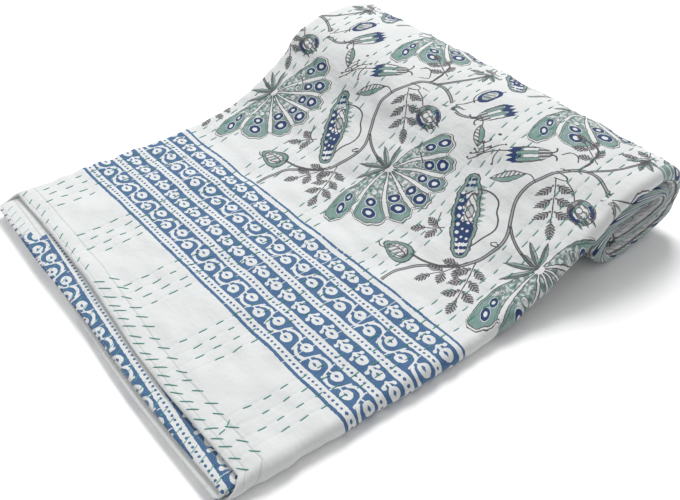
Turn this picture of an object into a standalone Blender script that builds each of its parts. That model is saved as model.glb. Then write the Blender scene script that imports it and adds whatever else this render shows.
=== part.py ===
"""A hand-stitched cotton quilt, folded in four across its width and half rolled up.

The quilt is one sheet. Its folded section goes back and forth in four layers, and that
section is carried along a path: flat on the floor, up a ramp, and round a flattened roll.
X runs from the loose end to the roll, Y across the folded quilt, Z up.
"""
import math

import bmesh
import bpy
import numpy as np

# Sizes of the folded quilt, in metres
WIDTH = 0.380               # across the folded quilt, outside to outside
CLOTH = 0.0028              # thickness of the padded and stitched cloth
LAYER_GAP = 0.0009          # air between two layers
LAYERS = 4
PITCH = CLOTH + LAYER_GAP   # from one layer's middle to the next
STACK = LAYERS * CLOTH + (LAYERS - 1) * LAYER_GAP
EDGE_INSET = 0.006          # how far the two free edges stay back from the side

# How the quilt runs at its near side (-Y) and its far side (+Y). Between them it is blended.
# foot: X where it leaves the floor; middle: X of the roll's middle; end_radius: round of the
# roll's two ends; reach: half the length of its flat middle; tilt: how far it leans up
# towards its back; winding: how much closer each turn lies; lift_off: angle, from level, at
# which the ramp meets the roll; pull_foot and pull_roll: how long the ramp keeps level
# at its foot and keeps to the roll at its top.
SIDES = {
    "near": dict(foot=0.178, middle=0.3670, end_radius=0.0262, reach=0.0300, tilt=7.0,
                 winding=0.0150, lift_off=22.0, pull_foot=0.060, pull_roll=0.040),
    "far": dict(foot=0.162, middle=0.3590, end_radius=0.0396, reach=0.0250, tilt=2.0,
                winding=0.0180, lift_off=46.0, pull_foot=0.064, pull_roll=0.040),
}
MIDDLE_FULLNESS = 0.14      # extra share of the far side's shape that the middle takes on
NEAR_BOW = 0.004            # how far the near side bows out halfway to the roll
HEM_BOW = 0.0045            # how far the hems bow out between the two sides
SHOULDER_ANGLE = 75.0       # normal angle, in degrees, where the roll's common turns begin
END_ANGLE = -468.0          # normal angle at the inner end, a turn and a half further round
CROWN = 0.16                # how round the roll's flat sides are, 0 for straight ones
FLOOR_SPOT = 0.0005         # cloth this close to the floor is pressed flat on it

# Where each layer's hem lies at the loose end, as X at the near side and at the far side
HEMS = {
    "top": (-0.0185, -0.0040),
    "second": (-0.0335, -0.0185),
    "third": (-0.0370, -0.0225),
    "bottom": (-0.0345, -0.0215),
}

# Steps of the mesh
LAYER_STEPS = 5
OUTER_FOLD_STEPS = 6
INNER_FOLD_STEPS = 4
FLAT_STEPS = 7
RAMP_STEPS = 8
SHOULDER_STEPS = 3
TURN_STEPS = 33
FINE = 2000                 # samples of a curve that is then read at even steps
SMOOTH_UNDER = 50.0         # edges that turn less than this, in degrees, are shaded smooth


def blend(near, far, share):
    """Value between near and far: near at share 0, far at share 1."""
    return near + (far - near) * share


def folded_section():
    """Section of the folded sheet: rows of (across, height, hem X), from the bottom layer's
    free edge round the near side's outer fold, the top layer, the far fold, the second layer,
    the near side's inner fold and the third layer to its free edge.
    Across is Y, and height is measured from the middle of the stack."""
    half = WIDTH / 2
    outer_radius = 1.5 * PITCH
    inner_radius = 0.5 * PITCH
    near_middle = -half + CLOTH / 2 + outer_radius
    far_middle = half - CLOTH / 2 - inner_radius
    free_edge = half - EDGE_INSET
    rows = []

    def layer(start, end, height, name):
        for step in range(LAYER_STEPS + 1):
            across = blend(start, end, step / LAYER_STEPS)
            share = (across - near_middle) / (far_middle - near_middle)
            rows.append((across, height, blend(*HEMS[name], share)))

    def fold(middle, level, radius, outward, name, next_name, rising, steps):
        side = 0.0 if outward < 0 else 1.0
        start, end = blend(*HEMS[name], side), blend(*HEMS[next_name], side)
        for step in range(1, steps):
            share = step / steps
            angle = math.pi * share
            across = middle + outward * radius * math.sin(angle)
            height = level - rising * radius * math.cos(angle)
            rows.append((across, height, blend(start, end, share)))

    layer(free_edge, near_middle, -1.5 * PITCH, "bottom")
    fold(near_middle, 0.0, outer_radius, -1, "bottom", "top", 1, OUTER_FOLD_STEPS)
    layer(near_middle, far_middle, 1.5 * PITCH, "top")
    fold(far_middle, PITCH, inner_radius, 1, "top", "second", -1, INNER_FOLD_STEPS)
    layer(far_middle, near_middle, 0.5 * PITCH, "second")
    fold(near_middle, 0.0, inner_radius, -1, "second", "third", -1, INNER_FOLD_STEPS)
    layer(near_middle, free_edge, -0.5 * PITCH, "third")
    return np.array(rows)


def even_steps(points, weight, steps):
    """Read rows of points at steps that each hold the same share of the summed weight."""
    total = np.concatenate(([0.0], np.cumsum((weight[1:] + weight[:-1]) / 2)))
    wanted = np.linspace(0.0, total[-1], steps + 1)
    return np.stack([np.interp(wanted, total, column) for column in points.T], axis=1)


def lift_angle(side):
    """Normal angle at which the ramp becomes the roll's outer turn."""
    return math.pi / 2 + math.radians(side["lift_off"])


def roll_outline(side, angle):
    """Middle line of the wound stack, as rows of (X, Z) from the roll's middle.
    A flattened round seen by its support: at each normal angle its distance is the end
    radius, plus the reach times a softened cosine, less the winding so far."""
    tilt = math.radians(side["tilt"])
    soft = np.sqrt(np.cos(angle - tilt) ** 2 + CROWN ** 2)
    shrink = side["winding"] / (2 * math.pi)
    distance = side["end_radius"] + side["reach"] * soft - shrink * (lift_angle(side) - angle)
    slope = -side["reach"] * np.cos(angle - tilt) * np.sin(angle - tilt) / soft + shrink
    x = distance * np.cos(angle) - slope * np.sin(angle)
    z = distance * np.sin(angle) + slope * np.cos(angle)
    return np.stack([x, z], axis=1)


def turn_angles():
    """Normal angles of the common turns, closer together where the roll bends sharply."""
    angle = np.linspace(math.radians(SHOULDER_ANGLE), math.radians(END_ANGLE), FINE)
    outline = roll_outline(SIDES["near"], angle)
    length = np.linalg.norm(np.gradient(outline, axis=0), axis=1)
    return even_steps(angle[:, None], np.sqrt(length), TURN_STEPS)[:, 0]


def side_path(name):
    """Path of the stack's middle along one side, from the ramp's foot to the inner end, as
    rows of (X, Z, normal X, normal Z). The ramp is one cubic curve from foot to roll."""
    side = SIDES[name]
    start = lift_angle(side)
    shoulder = np.linspace(start, math.radians(SHOULDER_ANGLE), SHOULDER_STEPS + 1)
    angle = np.concatenate([shoulder[:-1], turn_angles()])
    outer_turn = np.linspace(start, start - 2 * math.pi, FINE)
    rise = STACK / 2 - roll_outline(side, outer_turn)[:, 1].min()
    wound = roll_outline(side, angle) + np.array([side["middle"], rise])
    roll = np.column_stack([wound, np.cos(angle), np.sin(angle)])

    foot = np.array([side["foot"], STACK / 2])
    level = foot + np.array([side["pull_foot"], 0.0])
    before_roll = wound[0] - side["pull_roll"] * np.array([math.sin(start), -math.cos(start)])
    t = np.linspace(0.0, 1.0, FINE)[:, None]
    ramp = (1 - t) ** 3 * foot + 3 * (1 - t) ** 2 * t * level
    ramp = ramp + 3 * (1 - t) * t ** 2 * before_roll + t ** 3 * wound[0]
    run = np.gradient(ramp, axis=0)
    length = np.linalg.norm(run, axis=1)
    normal = np.column_stack([-run[:, 1], run[:, 0]]) / length[:, None]
    climb = even_steps(np.column_stack([ramp, normal]), length, RAMP_STEPS)
    return np.concatenate([climb[:-1], roll])


def quilt_points():
    """Points of the sheet's middle surface, indexed by section row and station."""
    section = folded_section()
    across, height, hem = section[:, 0:1], section[:, 1:2], section[:, 2:3]
    share = across / WIDTH + 0.5
    fuller = share + MIDDLE_FULLNESS * np.sin(math.pi * share)
    near, far = side_path("near"), side_path("far")
    rise = [blend(near[:, c][None, :], far[:, c][None, :], fuller) for c in range(4)]
    size = np.hypot(rise[2], rise[3])
    x = rise[0] + height * rise[2] / size
    z = rise[1] + height * rise[3] / size
    flat_share = np.linspace(0.0, 1.0, FLAT_STEPS + 1)[None, :-1]
    hem = hem - HEM_BOW * np.sin(math.pi * share)
    flat_x = blend(hem, x[:, 0:1], flat_share)
    flat_z = STACK / 2 + height + 0 * flat_x
    x = np.concatenate([flat_x, x], axis=1)
    z = np.concatenate([flat_z, z], axis=1)
    way = np.clip((x - x[:, :1]) / (SIDES["near"]["middle"] - x[:, :1]), 0.0, 1.0)
    y = across - NEAR_BOW * (1 - share) * np.sin(math.pi * way)
    floor = z < CLOTH / 2 + FLOOR_SPOT
    z[floor] = CLOTH / 2
    middle_x = (x.min() + x.max() + CLOTH / 2) / 2
    middle_y = (y.min() + y.max()) / 2
    return np.stack([x - middle_x, y - middle_y, z], axis=2)


def cotton():
    """Off-white printed cotton with a blue cast."""
    material = bpy.data.materials.new("printed_cotton")
    material.use_nodes = True
    shader = material.node_tree.nodes["Principled BSDF"]
    shader.inputs["Base Color"].default_value = (0.70, 0.74, 0.76, 1.0)
    shader.inputs["Roughness"].default_value = 0.9
    shader.inputs["Metallic"].default_value = 0.0
    return material


def build_quilt(collection):
    """The quilt: a grid carried onto the folded sheet and thickened to the cloth."""
    points = quilt_points()
    rows, stations = points.shape[:2]
    mesh = bpy.data.meshes.new("quilt")
    grid = bmesh.new()
    bmesh.ops.create_grid(grid, x_segments=stations - 1, y_segments=rows - 1, size=1.0)
    grid.verts.ensure_lookup_table()
    flat = points.reshape(-1, 3)
    for vert in grid.verts:
        vert.co = flat[vert.index]
    grid.to_mesh(mesh)
    grid.free()
    quilt = bpy.data.objects.new("quilt", mesh)
    collection.objects.link(quilt)
    cloth = quilt.modifiers.new("cloth", "SOLIDIFY")
    cloth.thickness = CLOTH
    cloth.offset = 0.0
    cloth.use_even_offset = True
    mesh.materials.append(cotton())
    mesh.shade_smooth()
    mesh.set_sharp_from_angle(angle=math.radians(SMOOTH_UNDER))
    return quilt


def main():
    for old in list(bpy.data.objects):
        bpy.data.objects.remove(old)
    collection = bpy.data.collections.new("kantha_quilt")
    bpy.context.scene.collection.children.link(collection)
    build_quilt(collection)


main()
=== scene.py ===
"""A hand-stitched cotton quilt with a block-printed border and flowers, folded in four and
half rolled up: its cloth, print, running stitches, floor, light and camera.

The cloth is one closed sheet. Its place on the cloth, in metres along and across, is kept
with each point, and the whole print is worked out from it."""
import math

import bpy
import numpy as np
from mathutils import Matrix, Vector


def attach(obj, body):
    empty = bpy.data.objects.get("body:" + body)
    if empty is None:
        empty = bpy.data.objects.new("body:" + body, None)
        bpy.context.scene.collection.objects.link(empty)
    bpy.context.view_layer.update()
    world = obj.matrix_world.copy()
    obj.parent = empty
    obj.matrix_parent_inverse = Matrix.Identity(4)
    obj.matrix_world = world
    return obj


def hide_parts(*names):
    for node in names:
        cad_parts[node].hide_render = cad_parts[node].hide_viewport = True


bl_info = {
    "name": "Rolled Kantha Quilt",
    "version": (1, 0, 0),
    "blender": (4, 5, 0),
    "location": "View3D > Sidebar > Quilt",
    "description": "Makes a folded, half rolled, block-printed and hand-stitched cotton quilt",
    "category": "Mesh",
}

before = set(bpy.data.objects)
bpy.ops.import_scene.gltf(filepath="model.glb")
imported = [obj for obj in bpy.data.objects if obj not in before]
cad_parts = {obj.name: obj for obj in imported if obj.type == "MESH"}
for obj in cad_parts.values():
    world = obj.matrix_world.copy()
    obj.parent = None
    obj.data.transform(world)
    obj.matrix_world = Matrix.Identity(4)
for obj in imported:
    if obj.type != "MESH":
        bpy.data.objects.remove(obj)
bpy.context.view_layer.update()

# The folded quilt, in metres, as its solid has it
WIDTH = 0.380
CLOTH = 0.0028
LAYER_GAP = 0.0009
PITCH = CLOTH + LAYER_GAP
STACK = 4 * CLOTH + 3 * LAYER_GAP
EDGE_INSET = 0.006
SIDES = {
    "near": dict(foot=0.178, middle=0.3670, end_radius=0.0262, reach=0.0300, tilt=7.0,
                 winding=0.0150, lift_off=22.0, pull_foot=0.060, pull_roll=0.040),
    "far": dict(foot=0.162, middle=0.3590, end_radius=0.0396, reach=0.0250, tilt=2.0,
                winding=0.0180, lift_off=46.0, pull_foot=0.064, pull_roll=0.040),
}
MIDDLE_FULLNESS = 0.14
NEAR_BOW = 0.004
SHOULDER_ANGLE = 75.0
END_ANGLE = -468.0
CROWN = 0.16
FLOOR_SPOT = 0.0005
# X of each layer's hem, at even steps from the near side to the far side
HEMS = {
    "top": (-0.0175, -0.0178, -0.0180, -0.0156, -0.0112, -0.0072, -0.0054, -0.0040, -0.0038),
    "second": (-0.0312, -0.0320, -0.0319, -0.0304, -0.0281, -0.0274, -0.0272, -0.0250, -0.0232),
    "third": (-0.0363, -0.0363, -0.0362, -0.0340, -0.0302, -0.0276, -0.0256, -0.0236, -0.0218),
    "bottom": (-0.0352, -0.0352, -0.0350, -0.0329, -0.0290, -0.0266, -0.0246, -0.0226, -0.0208),
}

# Steps of the fine sheet: finest where the cloth shows
LAYER_STEPS = {"bottom": 8, "top": 114, "second": 26, "third": 10}
FOLD_STEPS = {"outer": 14, "far": 9, "inner": 5}
FLAT_STEPS = 62
RAMP_STEPS = 40
SHOULDER_STEPS = 10
TURN_STEPS = 130
FINE = 2000

# The print's repeat across the folded quilt, and how each next column of it is shifted
REPEAT = 169.0
COLUMN = 165.0
HALF_DROP = 84.5
FIELD_START = 169.5         # where the flowered field begins, in millimetres along the cloth

# Rows of running stitches, in millimetres: four to a band
ROW_TOP = 178.0
ROW_PITCH = 10.3
ROWS_IN_BAND = 4
BAND_PITCH = 80.0
BANDS = 5
LAST_ACROSS = 0.183         # no row of stitches lies further across than this, in metres
PLAIN_END = 0.42            # how much of the cloth's inner end has no stitches, in metres

# The stage, in metres and watts
FLOOR_HALF = 6.0
FLOOR_DROP = 0.0004
SKY_STRENGTH = 0.52
SOFT_BOXES = (dict(place=(1.5, 1.5, 2.4), power=100.0, width=1.4),
              dict(place=(-1.2, 0.6, 1.4), power=6.0, width=1.0))
LIT_POINT = (0.0, 0.0, 0.03)
CAMERA_PLACE = (-0.3691, -0.4761, 0.4548)
CAMERA_AHEAD = (0.48701, 0.60759, -0.62743)
CAMERA_LENS = 45.95
CAMERA_SENSOR = 36.0


class QuiltCloth(bpy.types.PropertyGroup):
    """Sizes and colours of the cloth and its print."""
    puff: bpy.props.FloatProperty(
        name="Puff", description="Height of the soft swelling between the bands of stitches",
        default=0.0006, min=0.0, max=0.002, subtype="DISTANCE", unit="LENGTH")
    crinkle: bpy.props.FloatProperty(
        name="Crinkle", description="Height of the uneven crinkles of the washed cloth",
        default=0.0005, min=0.0, max=0.002, subtype="DISTANCE", unit="LENGTH")
    cotton: bpy.props.FloatVectorProperty(
        name="Cotton", description="Colour of the unprinted cloth",
        default=(0.640, 0.655, 0.655), size=3, min=0.0, max=1.0, subtype="COLOR")
    border_blue: bpy.props.FloatVectorProperty(
        name="Border blue", description="Ink of the printed border",
        default=(0.030, 0.080, 0.200), size=3, min=0.0, max=1.0, subtype="COLOR")
    navy: bpy.props.FloatVectorProperty(
        name="Navy", description="Dark ink of the rings and buds",
        default=(0.013, 0.037, 0.118), size=3, min=0.0, max=1.0, subtype="COLOR")
    teal: bpy.props.FloatVectorProperty(
        name="Teal", description="Pale green-blue ink that fills flowers and leaves",
        default=(0.150, 0.255, 0.232), size=3, min=0.0, max=1.0, subtype="COLOR")
    outline: bpy.props.FloatVectorProperty(
        name="Outline", description="Brown-grey ink of the outlines and stems",
        default=(0.060, 0.052, 0.060), size=3, min=0.0, max=1.0, subtype="COLOR")


class QuiltStitching(bpy.types.PropertyGroup):
    """Sizes and colour of the running stitches."""
    length: bpy.props.FloatProperty(
        name="Stitch length", description="How much of the thread shows in one stitch",
        default=0.0094, min=0.002, max=0.03, subtype="DISTANCE", unit="LENGTH")
    pitch: bpy.props.FloatProperty(
        name="Stitch pitch", description="From the start of one stitch to the next",
        default=0.0152, min=0.003, max=0.05, subtype="DISTANCE", unit="LENGTH")
    thickness: bpy.props.FloatProperty(
        name="Thread", description="Thickness of the thread",
        default=0.00085, min=0.0002, max=0.002, subtype="DISTANCE", unit="LENGTH")
    colour: bpy.props.FloatVectorProperty(
        name="Thread colour", description="Green-blue of the thread",
        default=(0.030, 0.300, 0.235), size=3, min=0.0, max=1.0, subtype="COLOR")


def blend(near, far, share):
    """Value between near and far: near at share 0, far at share 1."""
    return near + (far - near) * share


def smooth(value, low, high):
    """0 below low, 1 above high, and an S-curve between them."""
    share = np.clip((value - low) / (high - low), 0.0, 1.0)
    return share * share * (3 - 2 * share)


def hem_line(name, share):
    """X of a layer's hem at this share of the width, straight between the values given."""
    return np.interp(share, np.linspace(0.0, 1.0, len(HEMS[name])), HEMS[name])


def folded_section():
    """Section of the folded sheet as rows of (across, height, hem X): the bottom layer from its
    free edge, the near side's outer fold, the top layer, the far fold, the second layer, the
    inner fold and the third layer. Layers are straight and folds are half circles."""
    half = WIDTH / 2
    outer, inner = 1.5 * PITCH, 0.5 * PITCH
    near_middle = -half + CLOTH / 2 + outer
    far_middle = half - CLOTH / 2 - inner
    free_edge = half - EDGE_INSET
    parts = []

    def layer(start, end, height, name):
        across = np.linspace(start, end, LAYER_STEPS[name] + 1)
        hem = hem_line(name, (across - near_middle) / (far_middle - near_middle))
        parts.append(np.column_stack([across, np.full_like(across, height), hem]))

    def fold(middle, level, radius, outward, name, next_name, rising, kind):
        side = 0.0 if outward < 0 else 1.0
        share = np.arange(1, FOLD_STEPS[kind]) / FOLD_STEPS[kind]
        across = middle + outward * radius * np.sin(math.pi * share)
        height = level - rising * radius * np.cos(math.pi * share)
        hem = blend(hem_line(name, side), hem_line(next_name, side), share)
        parts.append(np.column_stack([across, height, hem]))

    layer(free_edge, near_middle, -1.5 * PITCH, "bottom")
    fold(near_middle, 0.0, outer, -1, "bottom", "top", 1, "outer")
    layer(near_middle, far_middle, 1.5 * PITCH, "top")
    fold(far_middle, PITCH, inner, 1, "top", "second", -1, "far")
    layer(far_middle, near_middle, 0.5 * PITCH, "second")
    fold(near_middle, 0.0, inner, -1, "second", "third", -1, "inner")
    layer(near_middle, free_edge, -0.5 * PITCH, "third")
    return np.concatenate(parts)


def even_steps(points, weight, steps):
    """Read rows of points at steps that each hold the same share of the summed weight."""
    total = np.concatenate(([0.0], np.cumsum((weight[1:] + weight[:-1]) / 2)))
    wanted = np.linspace(0.0, total[-1], steps + 1)
    return np.stack([np.interp(wanted, total, column) for column in points.T], axis=1)


def lift_angle(side):
    """Normal angle at which the ramp becomes the roll's outer turn."""
    return math.pi / 2 + math.radians(side["lift_off"])


def roll_outline(side, angle):
    """Middle line of the wound stack, as rows of (X, Z) from the roll's middle: a flattened
    round whose distance at each normal angle is the end radius, plus the reach times a
    softened cosine, less the winding so far."""
    tilt = math.radians(side["tilt"])
    soft = np.sqrt(np.cos(angle - tilt) ** 2 + CROWN ** 2)
    shrink = side["winding"] / (2 * math.pi)
    distance = side["end_radius"] + side["reach"] * soft - shrink * (lift_angle(side) - angle)
    slope = -side["reach"] * np.cos(angle - tilt) * np.sin(angle - tilt) / soft + shrink
    x = distance * np.cos(angle) - slope * np.sin(angle)
    z = distance * np.sin(angle) + slope * np.cos(angle)
    return np.stack([x, z], axis=1)


def turn_angles():
    """Normal angles of the common turns, closer together where the roll bends sharply."""
    angle = np.linspace(math.radians(SHOULDER_ANGLE), math.radians(END_ANGLE), FINE)
    outline = roll_outline(SIDES["near"], angle)
    length = np.linalg.norm(np.gradient(outline, axis=0), axis=1)
    return even_steps(angle[:, None], np.sqrt(length), TURN_STEPS)[:, 0]


def side_path(name):
    """Path of the stack's middle along one side, from the ramp's foot to the inner end, as
    rows of (X, Z, normal X, normal Z, normal angle). The ramp is one cubic curve."""
    side = SIDES[name]
    start = lift_angle(side)
    shoulder = np.linspace(start, math.radians(SHOULDER_ANGLE), SHOULDER_STEPS + 1)
    angle = np.concatenate([shoulder[:-1], turn_angles()])
    outer_turn = np.linspace(start, start - 2 * math.pi, FINE)
    rise = STACK / 2 - roll_outline(side, outer_turn)[:, 1].min()
    wound = roll_outline(side, angle) + np.array([side["middle"], rise])
    roll = np.column_stack([wound, np.cos(angle), np.sin(angle), angle])

    foot = np.array([side["foot"], STACK / 2])
    level = foot + np.array([side["pull_foot"], 0.0])
    before_roll = wound[0] - side["pull_roll"] * np.array([math.sin(start), -math.cos(start)])
    t = np.linspace(0.0, 1.0, FINE)[:, None]
    ramp = (1 - t) ** 3 * foot + 3 * (1 - t) ** 2 * t * level
    ramp = ramp + 3 * (1 - t) * t ** 2 * before_roll + t ** 3 * wound[0]
    run = np.gradient(ramp, axis=0)
    length = np.linalg.norm(run, axis=1)
    normal = np.column_stack([-run[:, 1], run[:, 0]]) / length[:, None]
    level_angle = np.full(len(ramp), math.pi / 2)
    climb = even_steps(np.column_stack([ramp, normal, level_angle]), length, RAMP_STEPS)
    return np.concatenate([climb[:-1], roll])


class Sheet:
    """The sheet's middle surface on a grid of section rows and stations, with its normals,
    its place along and across the cloth, and how free its printed face is to swell."""

    def __init__(self):
        section = folded_section()
        across, height, hem = section[:, 0:1], section[:, 1:2], section[:, 2:3]
        share = across / WIDTH + 0.5
        fuller = share + MIDDLE_FULLNESS * np.sin(math.pi * share)
        near, far = side_path("near"), side_path("far")
        path = [blend(near[:, c][None, :], far[:, c][None, :], fuller) for c in range(5)]
        size = np.hypot(path[2], path[3])
        x = path[0] + height * path[2] / size
        z = path[1] + height * path[3] / size
        flat_share = np.linspace(0.0, 1.0, FLAT_STEPS + 1)[None, :-1]
        flat_x = blend(hem, x[:, 0:1], flat_share)
        x = np.concatenate([flat_x, x], axis=1)
        z = np.concatenate([STACK / 2 + height + 0 * flat_x, z], axis=1)
        angle = np.concatenate([0 * flat_x + math.pi / 2, path[4] + 0 * height], axis=1)
        way = np.clip((x - x[:, :1]) / (SIDES["near"]["middle"] - x[:, :1]), 0.0, 1.0)
        y = across - NEAR_BOW * (1 - share) * np.sin(math.pi * way)
        z[z < CLOTH / 2 + FLOOR_SPOT] = CLOTH / 2
        middle_x = (x.min() + x.max() + CLOTH / 2) / 2
        middle_y = (y.min() + y.max()) / 2
        self.points = np.stack([x - middle_x, y - middle_y, z], axis=2)

        along_rows = np.gradient(self.points, axis=0)
        along_stations = np.gradient(self.points, axis=1)
        normal = np.cross(along_stations, along_rows)
        self.normals = normal / np.linalg.norm(normal, axis=2, keepdims=True)
        self.run = along_stations / np.linalg.norm(along_stations, axis=2, keepdims=True)
        self.spread = along_rows / np.linalg.norm(along_rows, axis=2, keepdims=True)

        face = self.points + self.normals * CLOTH / 2
        step = np.linalg.norm(np.diff(face, axis=1), axis=2)
        length = np.concatenate([np.zeros((len(x), 1)), np.cumsum(step, axis=1)], axis=1)
        self.along = hem + length
        self.from_hem = length
        part = np.hypot(np.diff(section[:, 0]), np.diff(section[:, 1]))
        place = np.concatenate([[0.0], np.cumsum(part)])
        first_top = LAYER_STEPS["bottom"] + FOLD_STEPS["outer"]
        place = place - place[first_top] + section[first_top, 0]
        self.across = place[:, None] + 0 * length
        self.top_rows = slice(first_top, first_top + LAYER_STEPS["top"] + 1)

        last_free = first_top + LAYER_STEPS["top"] + FOLD_STEPS["far"]
        row = np.arange(len(x))[:, None]
        free_row = smooth(row, LAYER_STEPS["bottom"], LAYER_STEPS["bottom"] + 8)
        free_row = free_row * (1 - smooth(row, last_free - 7, last_free))
        self.free = free_row * smooth(angle, math.radians(-75), math.radians(-35))

    def swell(self, puff, crinkle):
        """Height that the printed face is pushed out by, in metres: a soft swelling between
        the bands of stitches, plus waves of many lengths and directions, plus a few listed creases
        laid as troughs or ridges along straight lines."""
        u, v = self.along, self.across
        band = BAND_PITCH / 1000
        from_band = (ROW_TOP - 1.5 * ROW_PITCH) / 1000 - v
        height = puff * (0.5 - 0.5 * np.cos(2 * math.pi * from_band / band))
        chance = np.random.default_rng(7)
        for _ in range(16):
            wave = chance.uniform(0.016, 0.075)
            turn = chance.uniform(-0.9, 0.9) + (math.pi / 2 if chance.random() < 0.3 else 0)
            phase = chance.uniform(0, 2 * math.pi)
            k = 2 * math.pi / wave
            bend = 0.004 * np.sin(v / 0.03 + phase)
            height = height + crinkle * 0.42 * np.sin(
                k * ((u + bend) * math.cos(turn) + v * math.sin(turn)) + phase)
        for crease in CREASES:
            height = height + crease_height(crease, u, v)
        return height * self.free

    def on_top(self, along, across):
        """Points and normals of the printed top face at these places on the cloth."""
        rows = self.across[self.top_rows, 0]
        row = np.interp(across, rows, np.arange(len(rows)))
        low = np.minimum(row.astype(int), len(rows) - 2)
        part = (row - low)[:, None]
        u = self.along[self.top_rows]
        line = u[low] * (1 - part) + u[low + 1] * part
        station = np.clip((line < along[:, None]).sum(axis=1) - 1, 0, u.shape[1] - 2)
        pick = np.arange(len(along))
        before, after = line[pick, station], line[pick, station + 1]
        step = np.clip((along - before) / (after - before), 0.0, 1.0)[:, None]

        def read(grid):
            top = grid[self.top_rows]
            near = top[low, station] * (1 - step) + top[low, station + 1] * step
            far = top[low + 1, station] * (1 - step) + top[low + 1, station + 1] * step
            return near * (1 - part) + far * part

        normal = read(self.normals)
        return read(self.face), normal / np.linalg.norm(normal, axis=1, keepdims=True)


# Creases of the top face: from (along, across) to (along, across) in metres, width, height
CREASES = (
    dict(start=(0.205, -0.175), end=(0.300, -0.120), width=0.006, height=-0.0007),
    dict(start=(0.330, -0.190), end=(0.385, -0.135), width=0.007, height=0.0009),
    dict(start=(0.300, 0.120), end=(0.372, 0.185), width=0.008, height=-0.0009),
    dict(start=(0.355, 0.110), end=(0.402, 0.165), width=0.007, height=0.0009),
    dict(start=(0.020, 0.128), end=(0.150, 0.112), width=0.010, height=0.0005),
    dict(start=(0.015, -0.118), end=(0.140, -0.128), width=0.009, height=-0.0004),
    dict(start=(0.180, 0.020), end=(0.230, 0.120), width=0.009, height=0.0005),
)


def crease_height(crease, u, v):
    """A ridge or trough along a line: a bell across it that fades out at both its ends."""
    start, end = np.array(crease["start"]), np.array(crease["end"])
    run = end - start
    share = ((u - start[0]) * run[0] + (v - start[1]) * run[1]) / (run @ run)
    off = ((u - start[0]) * run[1] - (v - start[1]) * run[0]) / math.hypot(*run)
    ends = smooth(share, -0.15, 0.25) * (1 - smooth(share, 0.75, 1.15))
    return crease["height"] * ends * np.exp(-(off / crease["width"]) ** 2)


def mesh_from(name, points, quads, others=()):
    """A mesh of these points, four-sided faces and other faces."""
    mesh = bpy.data.meshes.new(name)
    faces = [quads] + [np.asarray(o) for o in others if len(o)]
    corners = np.concatenate([f.ravel() for f in faces])
    sizes = np.concatenate([np.full(len(f), f.shape[1]) for f in faces])
    starts = np.concatenate([[0], np.cumsum(sizes)[:-1]])
    mesh.vertices.add(len(points))
    mesh.vertices.foreach_set("co", np.asarray(points, np.float32).ravel())
    mesh.loops.add(len(corners))
    mesh.loops.foreach_set("vertex_index", corners.astype(np.int32))
    mesh.polygons.add(len(sizes))
    mesh.polygons.foreach_set("loop_start", starts.astype(np.int32))
    mesh.polygons.foreach_set("loop_total", sizes.astype(np.int32))
    mesh.update(calc_edges=True)
    mesh.validate()
    mesh.shade_smooth()
    return mesh


def add_attribute(mesh, name, kind, values):
    """Keep a number or a vector with each point of the mesh."""
    attribute = mesh.attributes.new(name, kind, "POINT")
    field = "vector" if kind == "FLOAT_VECTOR" else "value"
    attribute.data.foreach_set(field, np.asarray(values, np.float32).ravel())


def rim_order(rows, stations):
    """Grid indices of the sheet's four edges, in order round it."""
    index = np.arange(rows * stations).reshape(rows, stations)
    return np.concatenate([index[0, :-1], index[:-1, -1], index[-1, :0:-1], index[:0:-1, 0]])


def closed_sheet(sheet, puff, crinkle):
    """Points and quads of the cloth: its printed face and its back at half the thickness to
    each side of the middle surface, thinner towards the hems, and closed by a round rim."""
    rows, stations = sheet.points.shape[:2]
    thin = 0.62 + 0.38 * smooth(sheet.from_hem, 0.0, 0.014)
    half = CLOTH / 2 * thin[..., None]
    sheet.face = sheet.points + sheet.normals * (half + sheet.swell(puff, crinkle)[..., None])
    back = sheet.points - sheet.normals * half
    outward = np.zeros_like(sheet.points)
    outward[:, 0] -= sheet.run[:, 0]
    outward[:, -1] += sheet.run[:, -1]
    outward[0] -= sheet.spread[0]
    outward[-1] += sheet.spread[-1]
    edge = rim_order(rows, stations)
    size = np.linalg.norm(outward, axis=2, keepdims=True)
    middle = sheet.points + outward / np.maximum(size, 1e-9) * half
    rim = middle.reshape(-1, 3)[edge]
    points = np.concatenate([sheet.face.reshape(-1, 3), back.reshape(-1, 3), rim])

    index = np.arange(rows * stations).reshape(rows, stations)
    front = np.stack([index[:-1, :-1], index[1:, :-1], index[1:, 1:], index[:-1, 1:]], axis=-1)
    front = front.reshape(-1, 4)[:, ::-1]
    count = rows * stations
    loop = np.arange(len(edge))
    next_loop = np.roll(loop, -1)
    upper = np.stack([edge[loop], edge[next_loop], 2 * count + next_loop, 2 * count + loop], 1)
    lower = np.stack([2 * count + loop, 2 * count + next_loop,
                      count + edge[next_loop], count + edge[loop]], 1)
    quads = np.concatenate([front, front[:, ::-1] + count, upper[:, ::-1], lower[:, ::-1]])
    a, b, c, d = (points[quads[:, k]] for k in range(4))
    volume = (np.cross(b - a, c - a) * a).sum() + (np.cross(c - a, d - a) * a).sum()
    if volume < 0:
        quads = quads[:, ::-1]
    points[:, 2] = np.maximum(points[:, 2], 0.0)
    return points, quads, edge


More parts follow.
